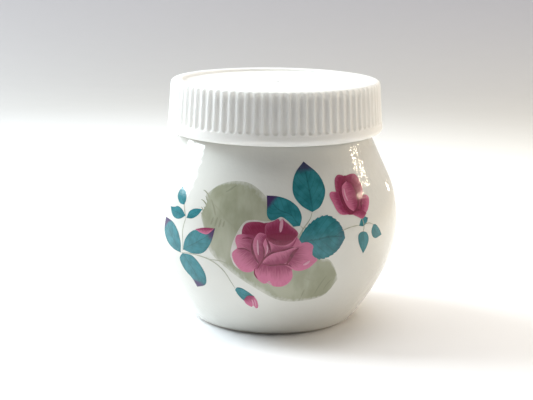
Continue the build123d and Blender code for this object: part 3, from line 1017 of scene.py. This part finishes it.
def table_painted_light(shade):
    x, y, z = shade.parts(shade.place())
    away = shade.from_axis() + z
    # painted light: pale and warmer to the right near the jar, greyer with distance and up the wall
    near = (x * 1.6 + y * 0.5).rise(-0.1, 0.6).blend((0.92, 0.92, 0.925), (0.92, 0.895, 0.83))
    middle = x.rise(-0.3, 0.4).blend((0.43, 0.42, 0.405), (0.53, 0.50, 0.455))
    far = x.rise(-0.4, 0.5).blend((0.42, 0.408, 0.425), (0.39, 0.37, 0.388))
    ground = away.rise(0.10, 0.50).blend(near, middle)
    tone = away.rise(0.45, 1.05).blend(ground, far)
    # painted shade: the wall on the camera's side is painted near black
    shaded = y.rise(-0.9, -0.2, 1.0, 0.0) * away.rise(0.5, 1.1)
    return {
        "Base Color": shaded.blend(tone, (0.12, 0.118, 0.115)),
        "Roughness": shade.noise(40, 2).rise(0.2, 0.8, 0.75, 0.85),
    }


top = bmesh.new()
middle = top.verts.new((0.0, 0.0, 0.0))
rings = []
for reach, height in table_line():
    turns = [2 * math.pi * step / table_segments for step in range(table_segments)]
    rings.append([top.verts.new((reach * math.cos(t), reach * math.sin(t), height)) for t in turns])
for k in range(table_segments):
    n = (k + 1) % table_segments
    top.faces.new((middle, rings[0][k], rings[0][n]))
    for inner, outer in zip(rings, rings[1:]):
        top.faces.new((inner[k], outer[k], outer[n], inner[n]))
table = new_piece("table", top)
paint(table, finish("table_painted_light", table_painted_light))


def lamp(name, place, aim, width, height, power, colour):
    """A flat soft light at place that faces aim."""
    light = bpy.data.lights.new(name, "AREA")
    light.shape = "RECTANGLE"
    light.size, light.size_y = width, height
    light.energy = power
    light.color = colour
    holder = bpy.data.objects.new(name, light)
    holder.location = place
    holder.rotation_euler = (Vector(aim) - Vector(place)).to_track_quat("-Z", "Y").to_euler()
    bpy.context.scene.collection.objects.link(holder)
    return holder


jar_middle = (0.0, 0.0, 0.035)
daylight, sunlit, bulb_glow = (0.84, 0.94, 1.0), (1.0, 0.86, 0.66), (1.0, 0.84, 0.62)
lamp("sky", (0.0, 0.26, 1.1), (0.0, 0.06, 0.0), 1.3, 0.9, 11.2, (1.0, 0.99, 0.98))
for row in range(2):
    for pane in range(2):
        spot = (-0.62, 0.13 + 0.25 * pane, 0.35 + 0.27 * row)
        lamp(f"window_{row}{pane}", spot, (0.0, 0.10, 0.04), 0.23, 0.25, 2.4, daylight)
wall = lamp("warm_wall", (0.60, 0.16, 0.25), jar_middle, 0.5, 0.35, 1.5, sunlit)
curtain = lamp("curtain", (-0.62, -0.04, 0.36), (0.0, 0.0, 0.05), 0.4, 0.4, 0.5, (0.92, 0.96, 1.0))
for soft in (wall, curtain):
    soft.visible_glossy = False        # a broad glow, with no outline to mirror in the glaze
for name, spot, width, height, power in (
    ("bulb_low", (0.42, 0.00, 0.180), 0.060, 0.012, 0.12),
    ("bulb_rim", (0.42, 0.12, 0.192), 0.022, 0.008, 0.03),
    ("bulb_high", (0.42, 0.06, 0.208), 0.030, 0.006, 0.03),
    ("bulb_back", (0.40, 0.21, 0.188), 0.016, 0.008, 0.03),
    ("bulb_far", (0.43, 0.50, 0.050), 0.030, 0.030, 0.06),
):
    lamp(name, spot, jar_middle, width, height, power, bulb_glow)

world = bpy.data.worlds.new("room")
bpy.context.scene.world = world
world.use_nodes = True
background = world.node_tree.nodes["Background"]
background.inputs["Color"].default_value = (0.96, 0.95, 0.93, 1.0)
background.inputs["Strength"].default_value = 0.04

bpy.context.scene.view_settings.view_transform = "Standard"
bpy.context.scene.view_settings.look = "None"

camera_distance = 0.378
camera_rise = math.radians(12.5)
camera_lean = math.radians(0.7)
aim = Vector((-0.00236, 0.0, 0.0360))
back = Vector((0.0, -math.cos(camera_rise), math.sin(camera_rise)))
lens = bpy.data.cameras.new("camera")
lens.lens = 81.0
lens.sensor_width = 36.0
lens.clip_start = 0.02
camera = bpy.data.objects.new("camera", lens)
camera.rotation_mode = "QUATERNION"
camera.location = aim + camera_distance * back
lean = Quaternion((0.0, 0.0, 1.0), camera_lean)
camera.rotation_quaternion = (-back).to_track_quat("-Z", "Y") @ lean
bpy.context.scene.collection.objects.link(camera)
bpy.context.scene.camera = camera
